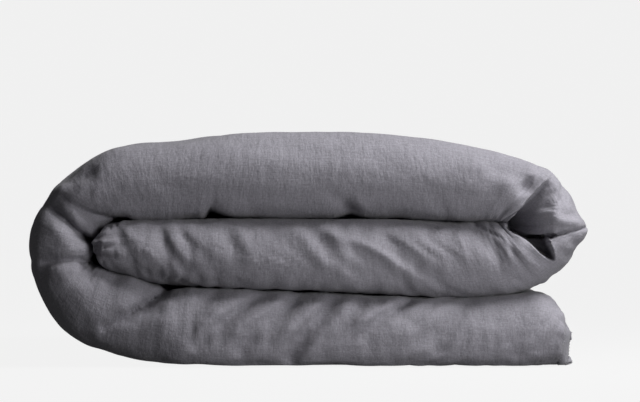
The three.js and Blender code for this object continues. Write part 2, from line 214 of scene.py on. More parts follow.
def normals(p):
    """Unit normals of a grid, pointing out of the strip."""
    return unit(np.cross(np.gradient(p, axis=0), np.gradient(p, axis=1)))


def added(name, data):
    """A new object in the scene."""
    obj = bpy.data.objects.new(name, data)
    bpy.context.scene.collection.objects.link(obj)
    return obj


def add_mesh(name, points, faces, material, uv=None, normal=None):
    """A smooth-shaded mesh object. uv is one pair for each point, in metres of flat cloth."""
    mesh = bpy.data.meshes.new(name)
    mesh.from_pydata(np.asarray(points).tolist(), [], [[int(i) for i in face] for face in faces])
    mesh.polygons.foreach_set("use_smooth", np.ones(len(mesh.polygons), bool))
    mesh.materials.append(material)
    if uv is not None:
        place = np.pad(np.asarray(uv, float), ((0, 0), (0, 1)))
        mesh.attributes.new("cloth", "FLOAT_VECTOR", "POINT").data.foreach_set("vector", place.ravel())
    mesh.validate()
    if normal is not None:
        mesh.normals_split_custom_set_from_vertices(np.asarray(normal).tolist())
    return added(name, mesh)


def quads(rows, columns, start=0, flip=False):
    index = start + np.arange(rows * columns).reshape(rows, columns)
    q = np.stack([index[:-1, :-1], index[1:, :-1], index[1:, 1:], index[:-1, 1:]], axis=-1).reshape(-1, 4)
    return q[:, ::-1] if flip else q


def grid_piece(name, p, material, uv=None, normal=None, flip=False):
    flat = None if uv is None else uv.reshape(-1, 2)
    n = None if normal is None else normal.reshape(-1, 3)
    return add_mesh(name, p.reshape(-1, 3), quads(*p.shape[:2], flip=flip), material, flat, n)


# ---------------------------------------------------------------- creases and wrinkles
# Each stroke is a path of (X, Z) points in the front view, in millimetres. The cloth is drawn in along it
# (depth over 0) or stands proud along it (under 0). fade is how much of the depth is left at its start and
# its end, reach is how far back it runs, and a sharp stroke is a pinched crease.
def strokes(sections, *rows):
    """Strokes over these sections. A row is a path, width and depth, and then fade, reach and sharp."""
    names = ("path", "width", "depth", "fade", "reach", "sharp")
    usual = dict(sections=sections, fade=(1, 0), reach=70, sharp=False)
    return [usual | dict(zip(names, row)) for row in rows]


LEFT = ("left", "lower", "top")
RIGHT = ("right", "top", "middle")
# Drawn into the coarse cloth, and held there while it settles.
FOLD_STROKES = [
    *strokes(LEFT,
        # the left fold: four creases that spread from its hollow
        ([(-206, 160), (-245, 169), (-268, 184)], 13, 15, (0.9, 0.1), 60, True),
        ([(-240, 138), (-252, 147), (-270, 163), (-288, 178), (-301, 187)], 12, 14, (1, 0.3), 40, True),
        ([(-226, 152), (-250, 160), (-275, 178)], 15, 6, (1, 0.5), 40),
        ([(-238, 112), (-252, 118), (-274, 116), (-306, 115)], 12, 11, (1, 0.5), 150, True),
        ([(-150, 91), (-167, 79), (-182, 67), (-212, 49), (-240, 32)], 20, 20, (1, 0), 60, True),
    ),
    *strokes(("left",),
        ([(-298, 114), (-293, 150), (-288, 174)], 8, -6, (0.9, 0.5), 60),
        ([(-255, 126), (-275, 144)], 17, -8, (0.6, 1), 60),
        ([(-205, 88), (-238, 90), (-270, 96)], 20, -10, (0.4, 0.6), 80),
    ),
    *strokes(LEFT,
        ([(-250, 199), (-275, 192)], 8, -5, (0.4, 1), 50),
        ([(-240, 209), (-262, 200)], 7, 7, (0.5, 0.8), 20),
    ),
    *strokes(RIGHT,
        # the right fold: a thin crease from its core to its tip, and the pocket under it
        ([(240, 142), (262, 144), (284, 149), (300, 152)], 11, 9, (1, 0.2), 14, True),
        ([(275, 191), (275, 178), (271, 165), (272, 151)], 6, 8, (0.6, 0.5), 30),
        ([(262, 204), (270, 190), (266, 172)], 5, -4, (0.8, 0.3), 30),
        ([(285, 178), (288, 166), (290, 158)], 6, -3, (0.6, 0.4), 30),
    ),
]
# Thin creases, drawn into the finer cloth after it has settled.
FINE_CREASES = [
    *strokes(LEFT,
        ([(-212, 162), (-245, 170), (-270, 184)], 4, 9, (0.9, 0.3), 30, True),
        ([(-214, 168), (-240, 176), (-262, 188)], 7, -4, (0.6, 0.2), 30),
        ([(-240, 138), (-252, 147), (-270, 165), (-280, 171), (-291, 179)], 5, 8, (1, 0.5), 40, True),
    ),
    *strokes(("left",),
        ([(-241, 138), (-254, 143), (-264, 151)], 5, 7, (0.8, 0.2), 20, True),
    ),
    *strokes(LEFT,
        ([(-148, 91), (-163, 81), (-180, 69), (-196, 58), (-226, 45)], 6.5, 12, (1, 0.4), 40, True),
        ([(-160, 92), (-178, 80), (-200, 64)], 8, -5, (0.8, 0.2), 40),
        ([(-146, 80), (-164, 68), (-186, 54)], 7, -4, (0.8, 0.2), 40),
        ([(-240, 113), (-252, 118), (-274, 116), (-292, 115)], 5, 3.5, (1, 0.4), 40, True),
    ),
    *strokes(RIGHT,
        ([(244, 142), (262, 143), (284, 148), (304, 153)], 3.2, 20, (1, 0.3), 12, True),
        ([(209, 159), (222, 166), (235, 176), (245, 188), (251, 198), (256, 204), (262, 204)],
         4, -1.6, (0.3, 1), 20),
    ),
]
WRINKLES = [
    *strokes(("middle",),
        # the middle layer, slanting down to the right
        ([(-162, 146), (-150, 121), (-134, 108), (-120, 97)], 6, 7, (0.5, 0.2)),
        ([(-184, 140), (-165, 114), (-132, 99)], 7, -4.5, (0.3, 0.3)),
        ([(-138, 144), (-121, 121), (-98, 107)], 6, 6, (0.5, 0)),
        ([(-150, 144), (-136, 124), (-114, 106)], 6, -4, (0.3, 0.2)),
        ([(-88, 144), (-76, 121), (-62, 103)], 6, 6, (0.7, 0)),
        ([(-76, 146), (-66, 120), (-56, 108)], 6, -4.5, (0.7, 0)),
        ([(-40, 150), (-26, 128), (-12, 112)], 7, 3.5, (0.5, 0)),
        ([(-6, 148), (13, 120), (32, 103), (54, 90)], 7, -7, (0.3, 0.5)),
        ([(6, 148), (28, 122), (52, 104)], 8, 5, (0.8, 0.2)),
        ([(10, 152), (43, 139), (70, 130), (91, 115), (116, 97), (140, 82)], 7, -8, (0.5, 0.4)),
        ([(48, 130), (80, 112), (108, 90)], 9, 6, (0.6, 0.4)),
        ([(86, 137), (102, 124), (126, 105), (148, 88)], 8, 6.5, (0.8, 0.2)),
        ([(170, 144), (178, 128), (187, 110), (206, 94)], 8, -6, (0.3, 0.4)),
    ),
    *strokes(("middle", "right"),
        ([(184, 146), (200, 132), (212, 116), (228, 100)], 9, 8, (0.7, 0.2)),
        ([(183, 156), (198, 148), (212, 141)], 4, 6, (0.8, 0.3), 30, True),
        ([(192, 156), (206, 150), (220, 143)], 5, -3, (0.8, 0.2), 30),
    ),
    *strokes(("middle",),
        ([(148, 130), (160, 112), (176, 92)], 9, 3, (0.5, 0)),
        ([(-212, 150), (-198, 128), (-180, 108)], 6, 5, (0.7, 0)),
        ([(-200, 150), (-186, 128), (-168, 110)], 6, -3, (0.5, 0)),
        ([(-214, 104), (-180, 102), (-152, 97), (-132, 90)], 6, 6, (0.6, 0.4)),
        # its gathered end
        ([(-242, 141), (-218, 144), (-200, 150)], 4, 8, (1, 0)),
        ([(-242, 132), (-216, 132), (-194, 136)], 4, 8, (1, 0)),
        ([(-242, 124), (-214, 121), (-188, 116)], 4, 8, (1, 0)),
        ([(-240, 150), (-216, 155)], 4, 7, (1, 0)),
        ([(-226, 137), (-206, 140)], 4, -4, (1, 0)),
        ([(-226, 127), (-206, 126)], 4, -4, (1, 0)),
    ),
    *strokes(("lower",),
        # the lower layer, slanting down to the left
        ([(-40, 86), (-74, 65), (-102, 44), (-124, 22)], 7, 7.5, (0.9, 0.45)),
        ([(-56, 86), (-90, 62), (-118, 42)], 7, -4.5, (0.5, 0.45)),
        ([(-2, 86), (-28, 61), (-56, 44), (-76, 20)], 7, 8, (0.9, 0.45)),
        ([(-20, 84), (-48, 60), (-78, 38)], 6, -5, (0.5, 0.45)),
        ([(36, 78), (2, 46), (-22, 10)], 8, 8, (0.7, 0.75)),
        ([(24, 84), (-2, 58), (-30, 30)], 7, -5.5, (0.5, 0.45)),
        ([(52, 74), (26, 46), (4, 20)], 7, -4, (0.5, 0.45)),
        ([(72, 80), (36, 46), (16, 20)], 8, 4.5, (0.5, 0.45)),
        ([(124, 79), (99, 65), (74, 50), (48, 34)], 6, 7.5, (1, 0.45)),
        ([(108, 80), (80, 63), (56, 50)], 7, -4.5, (0.6, 0.45)),
        ([(192, 78), (160, 60), (134, 32)], 11, 5, (0.9, 0.45)),
        ([(168, 76), (138, 56), (112, 34)], 10, -3, (0.5, 0.45)),
        ([(-92, 88), (-120, 66), (-146, 46)], 7, 6, (0.8, 0)),
        ([(-124, 84), (-148, 60)], 7, -4, (0.6, 0)),
        ([(244, 82), (228, 58), (222, 34)], 12, 4, (0.6, 0.45)),
        ([(262, 78), (268, 50), (266, 20)], 12, 3, (0.3, 0.45)),
    ),
    *strokes(("top",),
        # the top layer: a few dents
        ([(20, 194), (36, 180), (47, 170)], 6, 8, (0.1, 1)),
        ([(30, 198), (48, 184), (60, 174)], 7, -3, (0.1, 0.6)),
        ([(-140, 160), (-122, 172), (-102, 161)], 7, 7, (0.6, 0.5)),
        ([(206, 214), (200, 196)], 10, 5, (0.6, 0.4)),
    ),
    *strokes(("top", "right"),
        ([(222, 216), (232, 206), (240, 196)], 14, 7, (0.6, 0.9), 40),
        ([(254, 213), (249, 206), (240, 196)], 6, 7, (0.4, 0.9), 24),
    ),
    *strokes(("top",),
        ([(152, 162), (140, 186), (146, 206)], 8, 3.5, (0.8, 0)),
        ([(100, 162), (92, 182), (98, 198)], 9, 2.5, (0.8, 0)),
        ([(-60, 162), (-66, 184), (-58, 202)], 10, 2.5, (0.8, 0)),
        ([(-214, 172), (-180, 188), (-146, 196)], 14, -4, (0.5, 0)),
        ([(180, 226), (205, 208), (232, 196)], 10, -3, (0.3, 0.6)),
    ),
]


def along_path(x, z, path):
    """Distance to a path in the front view, and how far along it the nearest point is, from 0 to 1."""
    path = np.array(path, float) * MM
    ends = lengths_along(path)
    best, where = np.full(x.shape, 9.0), np.zeros(x.shape)
    for k in range(len(path) - 1):
        (ax, az), (bx, bz) = path[k], path[k + 1]
        dx, dz = bx - ax, bz - az
        f = np.clip(((x - ax) * dx + (z - az) * dz) / (dx * dx + dz * dz), 0, 1)
        d = np.hypot(x - ax - f * dx, z - az - f * dz)
        nearer = d < best
        best = np.where(nearer, d, best)
        where = np.where(nearer, (ends[k] + f * (ends[k + 1] - ends[k])) / ends[-1], where)
    return best, where


def pressed(p, section, past, strokes):
    """How far each point is drawn in by the strokes, in metres."""
    x, z = p[..., 0], p[..., 2]
    depth = np.zeros(x.shape)
    for s in strokes:
        rows = np.isin(section, s["sections"])
        d, t = along_path(x[rows], z[rows], s["path"])
        w = s["width"] * MM
        shape = np.clip(1 - d / w, 0, 1) ** 1.5 if s["sharp"] else bell(d, w)
        start, end = s["fade"]
        ease = smooth(0, 1, t)
        back = bell(past, s["reach"] * MM)[None, :]
        under = 0.25 + 1.05 * smooth(0, 0.25, t) if s["sections"][0] == "lower" else 1.0
        depth[rows] += s["depth"] * MM * shape * (start + (end - start) * ease) * back * under
    return depth


def inwards(p, past):
    """The way a point is drawn in: straight back on the front turn, and into the strip further back."""
    back = 0.8 * bell(past, 0.03)[None, :, None]
    return back * Y_AXIS - (1 - back) * normals(p)


def sculpt(p, section, past, strokes, share=1.0):
    return p + inwards(p, past) * pressed(p, section, past, strokes)[..., None] * share


CORE = (0.214, 0.154)


def mouth(p, section, past):
    """Round the right fold's core the cloth is drawn in, between two lips, where the strip turns back.

    The crease, the lower lip and its rim are angles about the core, in degrees, at distances from it.
    """
    x, z = p[..., 0] - CORE[0], p[..., 2] - CORE[1]
    turn = np.degrees(np.arctan2(z, x))
    away = np.hypot(x, z)
    start = smooth(0.002, 0.010, away)
    reach = 0.056 + 0.022 * smooth(12, 46, turn)
    crease = np.interp(away, (0.0, 0.025, 0.0365, 0.0485, 0.0665, 0.090), (-33, -29, -18, -13, -6, -0.5))
    rim = np.interp(away, (0.036, 0.045, 0.0535, 0.060, 0.068), (-13, -9, -21, -27, -33))
    lip = np.interp(away, (0.011, 0.025, 0.0335, 0.0506, 0.068), (-22, -30, -32.5, -36, -34))
    above = smooth(-3, 1, turn - crease) * (1 - smooth(45.5, 48.5, turn))
    above = above * np.clip(1 - away / reach, 0, 1) ** 0.7
    below = smooth(-1.5, 1.5, turn - lip) * (1 - smooth(-5, 1, turn - rim))
    below = below * (1 - smooth(0.056, 0.069, away))
    drawn = np.maximum(0.048 * above, 0.046 * below) * start
    drawn += 0.034 * start * np.minimum(1, above * 3) * bell(away, 0.024)
    drawn *= np.isin(section, RIGHT)[:, None] * bell(past, 0.06)[None, :]
    return p + Y_AXIS * drawn[..., None]


def pointed(p):
    """The right fold's tip, drawn out to a point, all the way back."""
    near = bell(np.hypot(p[..., 0] - 0.303, p[..., 2] - 0.153), 0.011)
    return p + X_AXIS * (0.0042 * near)[..., None]


def slanting(p, section, past):
    """Shallow front creases, down to the left on the lower layer and to the right on the middle one."""
    wander = noise(p.shape[:2], (70, 24), 21)
    strength = np.clip(0.45 + 0.8 * noise(p.shape[:2], (34, 12), 22), 0, 1.3) * bell(past, 0.05)[None, :]
    height = np.zeros(p.shape[:2])
    for name, across, pitch in (("lower", (0.65, -0.76), 0.021), ("middle", (0.70, 0.72), 0.018)):
        turns = (p[..., 0] * across[0] + p[..., 2] * across[1]) / pitch
        rows = eased((section == name) * 1.0, 12)[:, None]
        height += rows * (np.abs(np.sin(math.pi * turns + 1.3 * wander)) - 0.6)
    return p + normals(p) * (0.0018 * strength * height)[..., None]


def arched(p, section, past, angle):
    """The top layer's lower edge stands off the middle one in two short arches at the front."""
    x = p[..., 0]
    arches = bell(x + 0.113, 0.016) + 0.7 * bell(x - 0.044, 0.012)
    edge = smooth(-0.2, 1.2, -angle) * bell(past, 0.05)
    lift = 0.0065 * arches * edge[None, :] * (section == "top")[:, None]
    return p + Z_AXIS * lift[..., None]


# ---------------------------------------------------------------- cloth
class Cloth:
    """A grid of cloth a little longer than the shape it starts from, so that it buckles."""

    PAIRS = [((0, 1), 0.9), ((1, 0), 0.9), ((1, 1), 0.35), ((1, -1), 0.35), ((0, 2), 0.12), ((2, 0), 0.12)]

    def __init__(self, p, spare, hold, cap):
        self.p, self.start, self.hold, self.cap = p.copy(), p.copy(), hold[..., None], cap[..., None]
        self.links = []
        for (di, dj), stiff in self.PAIRS:
            for a, b in self.slices(di, dj):
                grown = 1 + (spare[a] + spare[b]) / 2 * (1 if max(di, abs(dj)) == 1 else 0.6)
                rest = np.linalg.norm(p[b] - p[a], axis=-1) * grown
                self.links.append((a, b, rest[..., None], stiff))

    def slices(self, di, dj):
        """Pairs of views of the grid, offset by (di, dj), that touch no point twice."""
        rows, columns = self.p.shape[:2]
        for phase in (0, 1):
            row = np.arange(rows - di)
            column = np.arange(max(0, -dj), columns - max(0, dj))
            if di:
                row = row[(row // di) % 2 == phase]
            else:
                column = column[(column // dj) % 2 == phase]
            yield np.ix_(row, column), np.ix_(row + di, column + dj)

    def run(self, steps, pressure):
        velocity = np.zeros_like(self.p)
        for _ in range(steps):
            before = self.p.copy()
            self.p += 0.9 * velocity + normals(self.p) * pressure
            for _ in range(3):
                for a, b, rest, stiff in self.links:
                    gap = self.p[b] - self.p[a]
                    length = np.maximum(np.linalg.norm(gap, axis=-1, keepdims=True), 1e-9)
                    move = gap * (0.5 * stiff * (length - rest) / length)
                    self.p[a] += move
                    self.p[b] -= move
            self.p += (self.start - self.p) * self.hold
            off = self.p - self.start
            far = np.linalg.norm(off, axis=-1, keepdims=True)
            self.p = self.start + off * np.minimum(1, self.cap / np.maximum(far, 1e-9))
            velocity = self.p - before
        return self.p


def noise(shape, cells, seed):
    """Smooth noise over a grid, about -1 to 1, with this many cells each way."""
    local = np.random.default_rng(seed)
    coarse = local.standard_normal((cells[0] + 4, cells[1] + 4))
    rows = spline(coarse, 1 + np.linspace(0, cells[0], shape[0]))
    return spline(rows.T, 1 + np.linspace(0, cells[1], shape[1])).T


def finer(values):
    """The same grid with twice the rows and columns, through Catmull-Rom curves."""
    for _ in range(2):
        count = len(values)
        t = np.linspace(0, count - 1, 2 * (count - 1) + 1)
        values = np.swapaxes(spline(values.reshape(count, -1), t).reshape(-1, *values.shape[1:]), 0, 1)
    return values


def finer_line(values):
    """The finer grid's values along one side, from the coarser grid's."""
    return finer(np.stack([values] * 3))[0]


def settle(p):
    """The cover relaxed as cloth over its filling: free where it shows, held where layers lie together."""
    shape = p.shape[:2]
    front = bell(PAST, 0.10)[None, :] * np.ones(shape)
    outside = eased(np.isin(SECTION, ["left", "right", "top"]) * 1.0)[:, None] * (SIDE > 0)[None, :]
    free = np.clip(front + 0.5 * outside, 0, 1) * eased(np.where(SECTION == "top", 0.3, 1.0))[:, None]
    layered = eased(np.isin(SECTION, ["lower", "middle"]) * 1.0, 12)[:, None]
    contact = bell(np.abs(np.degrees(ANGLE)) - 90, 22)[None, :] * layered
    free = free * (1 - 0.7 * contact)
    creased = np.clip(pressed(p, SECTION, PAST, FOLD_STROKES) / 0.012, 0, 1)
    tip = bell(np.hypot(p[..., 0] - 0.304, p[..., 2] - 0.152), 0.02) * front
    spare = 0.022 * free * (0.7 + 0.5 * noise(shape, (40, 14), 3))
    hold = np.clip(0.03 + 0.45 * (1 - free) + 0.35 * creased + 0.3 * tip, 0, 0.6)
    cap = 0.0015 + 0.0065 * free * (1 - 0.6 * creased)
    crumple = normals(p) * (noise(shape, (90, 36), 5) * 0.0012 * free)[..., None]
    return Cloth(p + crumple, spare, hold, cap).run(60, 0.00016)


def crinkled(p, past):
    """Fine creasing all over, longer one way than the other, as washed linen keeps."""
    shape = p.shape[:2]
    slant = noise(shape, (150, 50), 11) * 0.55 + noise(shape, (60, 90), 12) * 0.45
    broad = noise(shape, (46, 20), 13)
    depth = (0.00045 * slant + 0.0005 * broad) * (0.35 + 0.65 * bell(past, 0.3))[None, :]
    spread = np.linalg.norm(np.gradient(p, axis=0), axis=-1)
    depth *= smooth(0.0004, 0.0016, spread)
    return p - normals(p) * depth[..., None]


GROUND_SKIN = 0.0002
SECTION_FINE = np.repeat(SECTION, 2)[:-1]
PAST_FINE = np.maximum(finer_line(PAST), 0)
ANGLE_FINE = finer_line(ANGLE)


def above_ground(z, margin=0.0025):
    """Heights eased so that none goes under the ground."""
    low = margin * np.exp(np.minimum(z, margin) / margin - 1)
    return GROUND_SKIN + np.where(z < margin, low, z)


def cover_face():
    """The cover's face panel: sculpted, settled, and then creased on the finer grid."""
    p = skin()
    p = sculpt(p, SECTION, PAST, FOLD_STROKES)
    p = sculpt(p, SECTION, PAST, WRINKLES, 0.4)
    p = settle(p)
    p = mouth(finer(p), SECTION_FINE, PAST_FINE)
    p = sculpt(p, SECTION_FINE, PAST_FINE, WRINKLES, 0.9)
    p = sculpt(p, SECTION_FINE, PAST_FINE, FINE_CREASES)
    p = pointed(slanting(crinkled(p, PAST_FINE), SECTION_FINE, PAST_FINE))
    p = arched(p, SECTION_FINE, PAST_FINE, ANGLE_FINE)
    p[..., 2] = above_ground(p[..., 2])
    return p


FACE = cover_face()
FACE_NORMALS = normals(FACE)
LINING = mouth(finer(skin(-1, depth=0.001)), SECTION_FINE, PAST_FINE)
LINING_NORMALS = -normals(LINING)


# ---------------------------------------------------------------- materials
def shader(name, color, rough, sheen=0.0):
    m = bpy.data.materials.new(name)
    m.use_nodes = True
    b = m.node_tree.nodes["Principled BSDF"]
    b.inputs["Base Color"].default_value = (*color, 1)
    b.inputs["Roughness"].default_value = rough
    b.inputs["Sheen Weight"].default_value = sheen
    b.inputs["Sheen Roughness"].default_value = 0.5
    return m, m.node_tree, b


def node(tree, kind, **values):
    n = tree.nodes.new(kind)
    for key, value in values.items():
        if key in n.inputs:
            n.inputs[key].default_value = value
        else:
            setattr(n, key, value)
    return n


def bumped(tree, target, height, strength, distance):
    """Relief from a height, as a shader's normal or as the broader relief under another one."""
    bump = node(tree, "ShaderNodeBump", Strength=strength, Distance=distance)
    tree.links.new(height, bump.inputs["Height"])
    tree.links.new(bump.outputs[0], target.inputs["Normal"])
    return bump


def ramped(tree, b, value, dark, light, start=0.0, end=1.0):
    """A base colour that goes from dark to light as the value goes from start to end."""
    ramp = node(tree, "ShaderNodeValToRGB")
    for element, position, color in zip(ramp.color_ramp.elements, (start, end), (dark, light)):
        element.position = position
        element.color = (*color, 1)
    tree.links.new(value, ramp.inputs[0])
    tree.links.new(ramp.outputs[0], b.inputs["Base Color"])


def math_node(tree, operation, a, b=None):
    n = tree.nodes.new("ShaderNodeMath")
    n.operation = operation
    for socket, value in zip(n.inputs, (a, b)):
        if isinstance(value, bpy.types.NodeSocket):
            tree.links.new(value, socket)
        elif value is not None:
            socket.default_value = value
    return n.outputs[0]


def weighted(tree, *parts):
    """The sum of some values, each times its share."""
    total = None
    for value, share in parts:
        scaled = math_node(tree, "MULTIPLY", value, share)
        total = scaled if total is None else math_node(tree, "ADD", total, scaled)
    return total


def cloth_noise(tree, coords, across, along, scale, detail=3.0, rough=0.55):
    """Noise over the flat cloth, drawn out along one of its threads."""
    stretch = node(tree, "ShaderNodeMapping")
    stretch.inputs["Scale"].default_value = (across, along, 1)
    tree.links.new(coords, stretch.inputs["Vector"])
    n = node(tree, "ShaderNodeTexNoise", Scale=scale, Detail=detail, Roughness=rough)
    tree.links.new(stretch.outputs[0], n.inputs["Vector"])
    return n.outputs["Fac"]


def woven(name, dark, light, thread, slub, rough, sheen, crinkle=0.0):
    """Plain-weave cloth: threads over and under, slubs along both, uneven dye, and fine creasing."""
    m, tree, b = shader(name, light, rough, sheen)
    uv = node(tree, "ShaderNodeAttribute", attribute_name="cloth").outputs["Vector"]
    split = node(tree, "ShaderNodeSeparateXYZ")
    tree.links.new(uv, split.inputs[0])
    u, v = split.outputs[0], split.outputs[1]
    turns = 2 * math.pi / thread
    warp = math_node(tree, "SINE", math_node(tree, "MULTIPLY", u, turns))
    weft = math_node(tree, "SINE", math_node(tree, "MULTIPLY", v, turns))
    weave = math_node(tree, "MULTIPLY", warp, weft)
    long_slub = cloth_noise(tree, uv, 16, 1, 70 * slub, 2)
    cross_slub = cloth_noise(tree, uv, 1, 16, 70 * slub, 2)
    slubs = math_node(tree, "ADD", long_slub, cross_slub)
    mottle = cloth_noise(tree, uv, 1, 1, 420, 2, 0.6)
    patch = cloth_noise(tree, uv, 1, 1, 9, 3)
    tone = weighted(tree, (slubs, 0.27), (mottle, 0.42), (patch, 0.36), (weave, 0.05))
    ramped(tree, b, tone, dark, light, 0.50, 0.82)
    height = weighted(tree, (weave, 0.10), (slubs, 0.35), (mottle, 0.30))
    fine = bumped(tree, b, height, 0.55, 0.0006)
    if crinkle:
        along_creases = cloth_noise(tree, uv, 1.6, 0.7, 62, 4, 0.6)
        cross_creases = cloth_noise(tree, uv, 0.6, 1.5, 38, 3, 0.55)
        bumped(tree, fine, math_node(tree, "ADD", along_creases, cross_creases), crinkle, 0.004)
    return m


LINEN = woven("linen", (0.150, 0.144, 0.166), (0.262, 0.254, 0.286), 0.0011, 1.0, 0.88, 0.12, 0.5)
HEM = woven("linen_hem", (0.142, 0.137, 0.158), (0.250, 0.244, 0.272), 0.0011, 1.0, 0.88, 0.12, 0.2)
TICKING = woven("cotton_ticking", (0.70, 0.68, 0.63), (0.84, 0.82, 0.78), 0.0006, 1.6, 0.85, 0.1, 0.3)
TAPE = woven("cotton_tape", (0.60, 0.57, 0.50), (0.76, 0.73, 0.66), 0.0008, 2.0, 0.9, 0.1)
SATIN = woven("label_satin", (0.70, 0.68, 0.62), (0.82, 0.80, 0.75), 0.0004, 2.5, 0.42, 0.0)


def stitched(name, color):
    """Twisted sewing thread."""
    m, tree, b = shader(name, color, 0.75, 0.2)
    place = node(tree, "ShaderNodeTexCoord").outputs["Object"]
    twist = node(tree, "ShaderNodeTexWave", Scale=900.0, Distortion=2.0, Detail=1.0)
    twist.bands_direction = "DIAGONAL"
    tree.links.new(place, twist.inputs["Vector"])
    ramped(tree, b, twist.outputs["Fac"], [0.6 * c for c in color], [1.3 * c for c in color])
    bumped(tree, b, twist.outputs["Fac"], 0.6, 0.0003)
    return m


def horn(name):
    """Dark resin with the cloudy streaks of horn, polished, and duller in the scratches."""
    m, tree, b = shader(name, (0.06, 0.05, 0.05), 0.3)
    b.inputs["Coat Weight"].default_value = 0.35
    b.inputs["Coat Roughness"].default_value = 0.2
    place = node(tree, "ShaderNodeTexCoord").outputs["Object"]
    cloud = node(tree, "ShaderNodeTexNoise", Scale=160.0, Detail=4.0, Distortion=2.2)
    tree.links.new(place, cloud.inputs["Vector"])
    ramped(tree, b, cloud.outputs["Fac"], (0.035, 0.028, 0.027), (0.19, 0.155, 0.135), 0.35, 0.75)
    scuff = node(tree, "ShaderNodeTexNoise", Scale=900.0, Detail=2.0)
    tree.links.new(place, scuff.inputs["Vector"])
    tree.links.new(math_node(tree, "MULTIPLY_ADD", scuff.outputs["Fac"], 0.3), b.inputs["Roughness"])
    bumped(tree, b, scuff.outputs["Fac"], 0.12, 0.0002)
    return m


THREAD = stitched("sewing_thread", (0.23, 0.225, 0.25))
HORN = horn("button_horn")

# ---------------------------------------------------------------- the pieces of the strip
# Where the left fold's cloth is parted between the two hinges, and where the right fold's tip parts the top
# from the middle layer, in rows of the finer grid.
LEFTMOST = 2 * (ROW["left"][0] + 5 * ROWS_PER_SECTION["left"] // len(STATIONS["left"]))
TIP = 2 * (ROW["right"][0] + 3 * ROWS_PER_SECTION["right"] // len(STATIONS["right"]))
PARTS = {"lower": slice(0, LEFTMOST + 1), "upper": slice(LEFTMOST, TIP + 1), "middle": slice(TIP, None)}
NODES = {"lower": "lower", "upper": "left_fold", "middle": "upper"}


def carried(obj, part):
    """Keep the lower and upper pieces in place, on no body, and ride the middle one on the upper pack."""
    if part == "lower":
        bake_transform(obj)
    elif part == "upper":
        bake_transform(obj)
    else:
        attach(obj, "upper_pack")


# Where each point of the finer grid lies on the flat cloth, in metres.
TURN_RADIUS = 0.041
UV = pairs(finer_line(ALONG), finer_line(SIDE * PAST + ANGLE * TURN_RADIUS))
for part, rows in PARTS.items():
    cover = grid_piece(f"cover_{part}", FACE[rows], LINEN, UV[rows], FACE_NORMALS[rows])
    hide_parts(f"cover_face_{NODES[part]}")
    carried(cover, part)
    own = slice(rows.start, rows.stop, 2)
    lining = grid_piece(f"cover_lining_{part}", LINING[own], LINEN, UV[own], LINING_NORMALS[own], flip=True)
    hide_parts(f"cover_back_{NODES[part]}")
    carried(lining, part)


# ---- the duvet inside: its casing pulled in along the quilting
def widest(values, reach):
    """The largest value near each point of a grid."""
    for axis in (0, 1):
        r = reach[axis]
        padded = np.pad(values, [(r, r) if k == axis else (0, 0) for k in (0, 1)], mode="edge")
        windows = np.lib.stride_tricks.sliding_window_view(padded, 2 * r + 1, axis=axis)
        values = windows.max(axis=-1)
    return values


def duvet_surfaces():
    """The casing's outer and inner surfaces, clear of the cover's creases, pulled in along the quilting."""
    plain = mouth(finer(skin()), SECTION_FINE, PAST_FINE)
    through = LINING - plain
    room = np.linalg.norm(through, axis=-1)
    creased = widest(np.linalg.norm(FACE - plain, axis=-1), (18, 7))
    share = np.clip((1.15 * creased + 0.007) / np.maximum(room, 1e-6), 0, 0.86)
    from_core = np.hypot(plain[..., 0] - CORE[0], plain[..., 2] - CORE[1])
    share = np.maximum(share, 0.86 * smooth(-0.085, -0.050, -from_core) * np.exp(-((PAST_FINE / 0.2) ** 4)))
    lines = bell(PAST_FINE - 0.31, 0.012)[None, :]
    for name in ("left", "right"):
        for row in (ROW[name][0], ROW[name][-1]):
            lines = np.maximum(lines, bell(UV[:, :1, 0] - ALONG[row], 0.014))
    outer = plain + through * np.maximum(share, 0.30 * lines)[..., None]
    clear = np.clip(0.005 / np.maximum(room, 1e-6), 0, 0.2)
    inner = plain + through * np.minimum(1 - clear, 1 - 0.14 * lines)[..., None]
    columns = np.append(np.arange(1, outer.shape[1] - 3, 4), outer.shape[1] - 2)
    return tuple(grid[::4][:, columns] for grid in (outer, inner, UV))


def closed_pad(name, outer, inner, uv, material):
    rows, columns = outer.shape[:2]
    points = np.concatenate([outer.reshape(-1, 3), inner.reshape(-1, 3)])
    faces = [*quads(rows, columns), *quads(rows, columns, rows * columns, flip=True)]
    index = np.arange(rows * columns).reshape(rows, columns)
    rim = np.concatenate([index[0, :-1], index[:-1, -1], index[-1, :0:-1], index[:0:-1, 0]])
    following = np.roll(rim, -1)
    faces += [[b, a, a + rows * columns, b + rows * columns] for a, b in zip(rim, following)]
    return add_mesh(name, points, faces, material, np.concatenate([uv.reshape(-1, 2)] * 2))


# The casing has one row for every four of the finer grid, and stops a few rows short of both ends.
CASING = duvet_surfaces()
INSET = 3
POCKETS = {"lower": ["lower"], "upper": ["left_fold", "top"], "middle": ["right_fold", "middle"]}
for part, rows in PARTS.items():
    start = INSET if part == "lower" else rows.start // 4
    stop = rows.stop // 4 + 1 if rows.stop else -INSET
    pad = closed_pad(f"duvet_{part}", *[grid[start:stop] for grid in CASING], TICKING)
    casing = [f"ticking_{side}_{NODES[part]}" for side in ("outer", "inner")]
    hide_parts(*casing, *[f"fill_pocket_{n}_{k}" for n in POCKETS[part] for k in (1, 2, 3, 4)])
    carried(pad, part)
